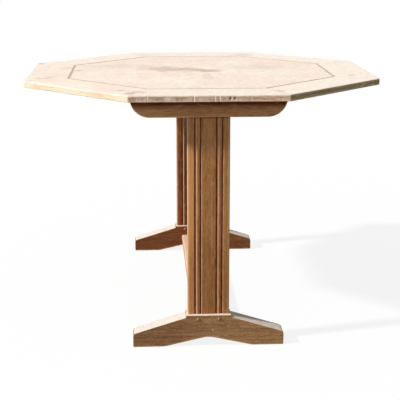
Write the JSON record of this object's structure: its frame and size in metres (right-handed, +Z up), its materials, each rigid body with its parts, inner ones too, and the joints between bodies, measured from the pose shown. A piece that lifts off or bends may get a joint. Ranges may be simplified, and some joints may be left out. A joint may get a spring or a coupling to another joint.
{
  "type": "octagonal table",
  "caption": "Octagonal wooden table with a mitred border and a dark inlay line, on a trestle base of moulded columns, arched feet and a low flat stretcher.",
  "frame": {"origin": "on the floor, under the middle of the top", "axes": "+Z up; +X along the feet and bearers, to the right seen from the front; +Y from the front trestle to the rear one"},
  "size_m": [1.088, 1.088, 0.75],
  "materials": {
    "field_oak": "bare, sun-bleached and dry",
    "border_oak": "bare, sun-bleached, with worn edges",
    "dark_inlay": "dull dark brown",
    "stained_oak": "brown stain under a worn satin varnish",
    "peg_oak": "stained, worn pale on the ends",
    "dowel_beech": "pale end grain",
    "raw_oak": "unfinished",
    "steel": "dull zinc"
  },
  "bodies": {
    "root": {"field_board_1": "field_oak", "field_board_2": "field_oak", "field_board_3": "field_oak", "field_board_4": "field_oak", "field_board_5": "field_oak", "field_board_6": "field_oak", "border_front": "border_oak", "border_front_right": "border_oak", "border_right": "border_oak", "border_rear_right": "border_oak", "border_rear": "border_oak", "border_rear_left": "border_oak", "border_left": "border_oak", "border_front_left": "border_oak", "inlay_front": "dark_inlay", "inlay_front_right": "dark_inlay", "inlay_right": "dark_inlay", "inlay_rear_right": "dark_inlay", "inlay_rear": "dark_inlay", "inlay_rear_left": "dark_inlay", "inlay_left": "dark_inlay", "inlay_front_left": "dark_inlay", "border_tongues": "raw_oak", "mitre_splines": "raw_oak", "bearer_front": "stained_oak", "column_front": "stained_oak", "foot_front": "stained_oak", "foot_pegs_front": "peg_oak", "stretcher_dowels_front": "dowel_beech", "bearer_rear": "stained_oak", "column_rear": "stained_oak", "foot_rear": "stained_oak", "foot_pegs_rear": "peg_oak", "stretcher_dowels_rear": "dowel_beech", "stretcher": "stained_oak", "top_rail_left": "raw_oak", "top_rail_right": "raw_oak", "bearer_screws": "steel", "rail_screws": "steel"}
  },
  "joints": []
}
